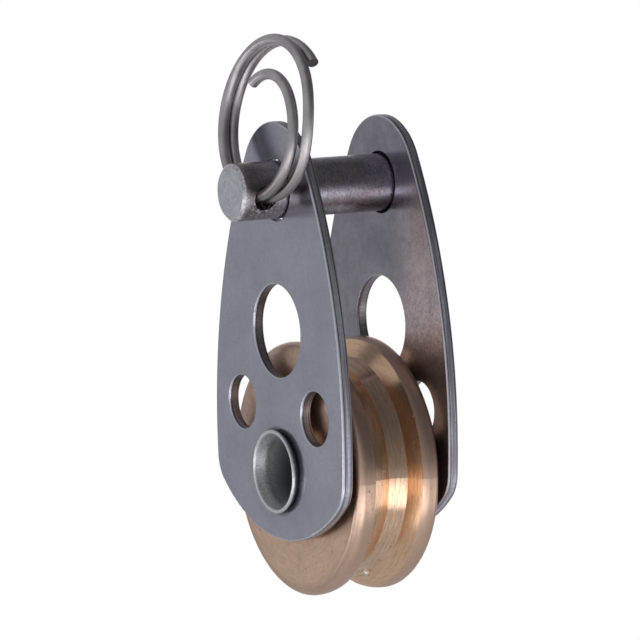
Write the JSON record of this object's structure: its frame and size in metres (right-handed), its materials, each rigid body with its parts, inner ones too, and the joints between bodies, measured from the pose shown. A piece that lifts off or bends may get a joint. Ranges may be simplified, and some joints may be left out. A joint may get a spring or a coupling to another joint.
{
  "type": "single pulley block",
  "caption": "Small single block: brass sheave on a hollow riveted axle between two steel cheeks, with a clevis pin head kept in by a split ring.",
  "frame": {"origin": "centre of the hollow axle, midway between the two cheek plates", "axes": "+Y along the axle and the head pin, towards the pin's head; +Z from the axle up to the head pin; +X across the cheek plates"},
  "size_m": [0.0286, 0.0216, 0.0622],
  "materials": {
    "cheek_steel": "satin",
    "axle_steel": "satin",
    "sleeve_steel": "satin",
    "sheave_brass": "satin",
    "pin_steel": "polished",
    "ring_wire": "satin"
  },
  "bodies": {
    "cheeks": {"front_cheek_plate": "cheek_steel", "rear_cheek_plate": "cheek_steel", "hollow_axle": "axle_steel", "distance_sleeve": "sleeve_steel"},
    "sheave": {"sheave": "sheave_brass"},
    "pin": {"clevis_pin": "pin_steel"},
    "ring": {"split_ring": "ring_wire"}
  },
  "joints": [
    {"name": "sheave_spin", "type": "hinge", "parent": "cheeks", "child": "sheave", "pos_m": [0, 0, 0], "axis": [0, 1, 0], "continuous": true},
    {"name": "pin_turn", "type": "hinge", "parent": "cheeks", "child": "pin", "pos_m": [0, 0, 0.0311], "axis": [0, 1, 0], "range_deg": [-75, 75]},
    {"name": "ring_swing", "type": "hinge", "parent": "pin", "child": "ring", "pos_m": [0, -0.01, 0.0311], "axis": [0.9816, 0, -0.1908], "range_deg": [0, 190]}
  ]
}
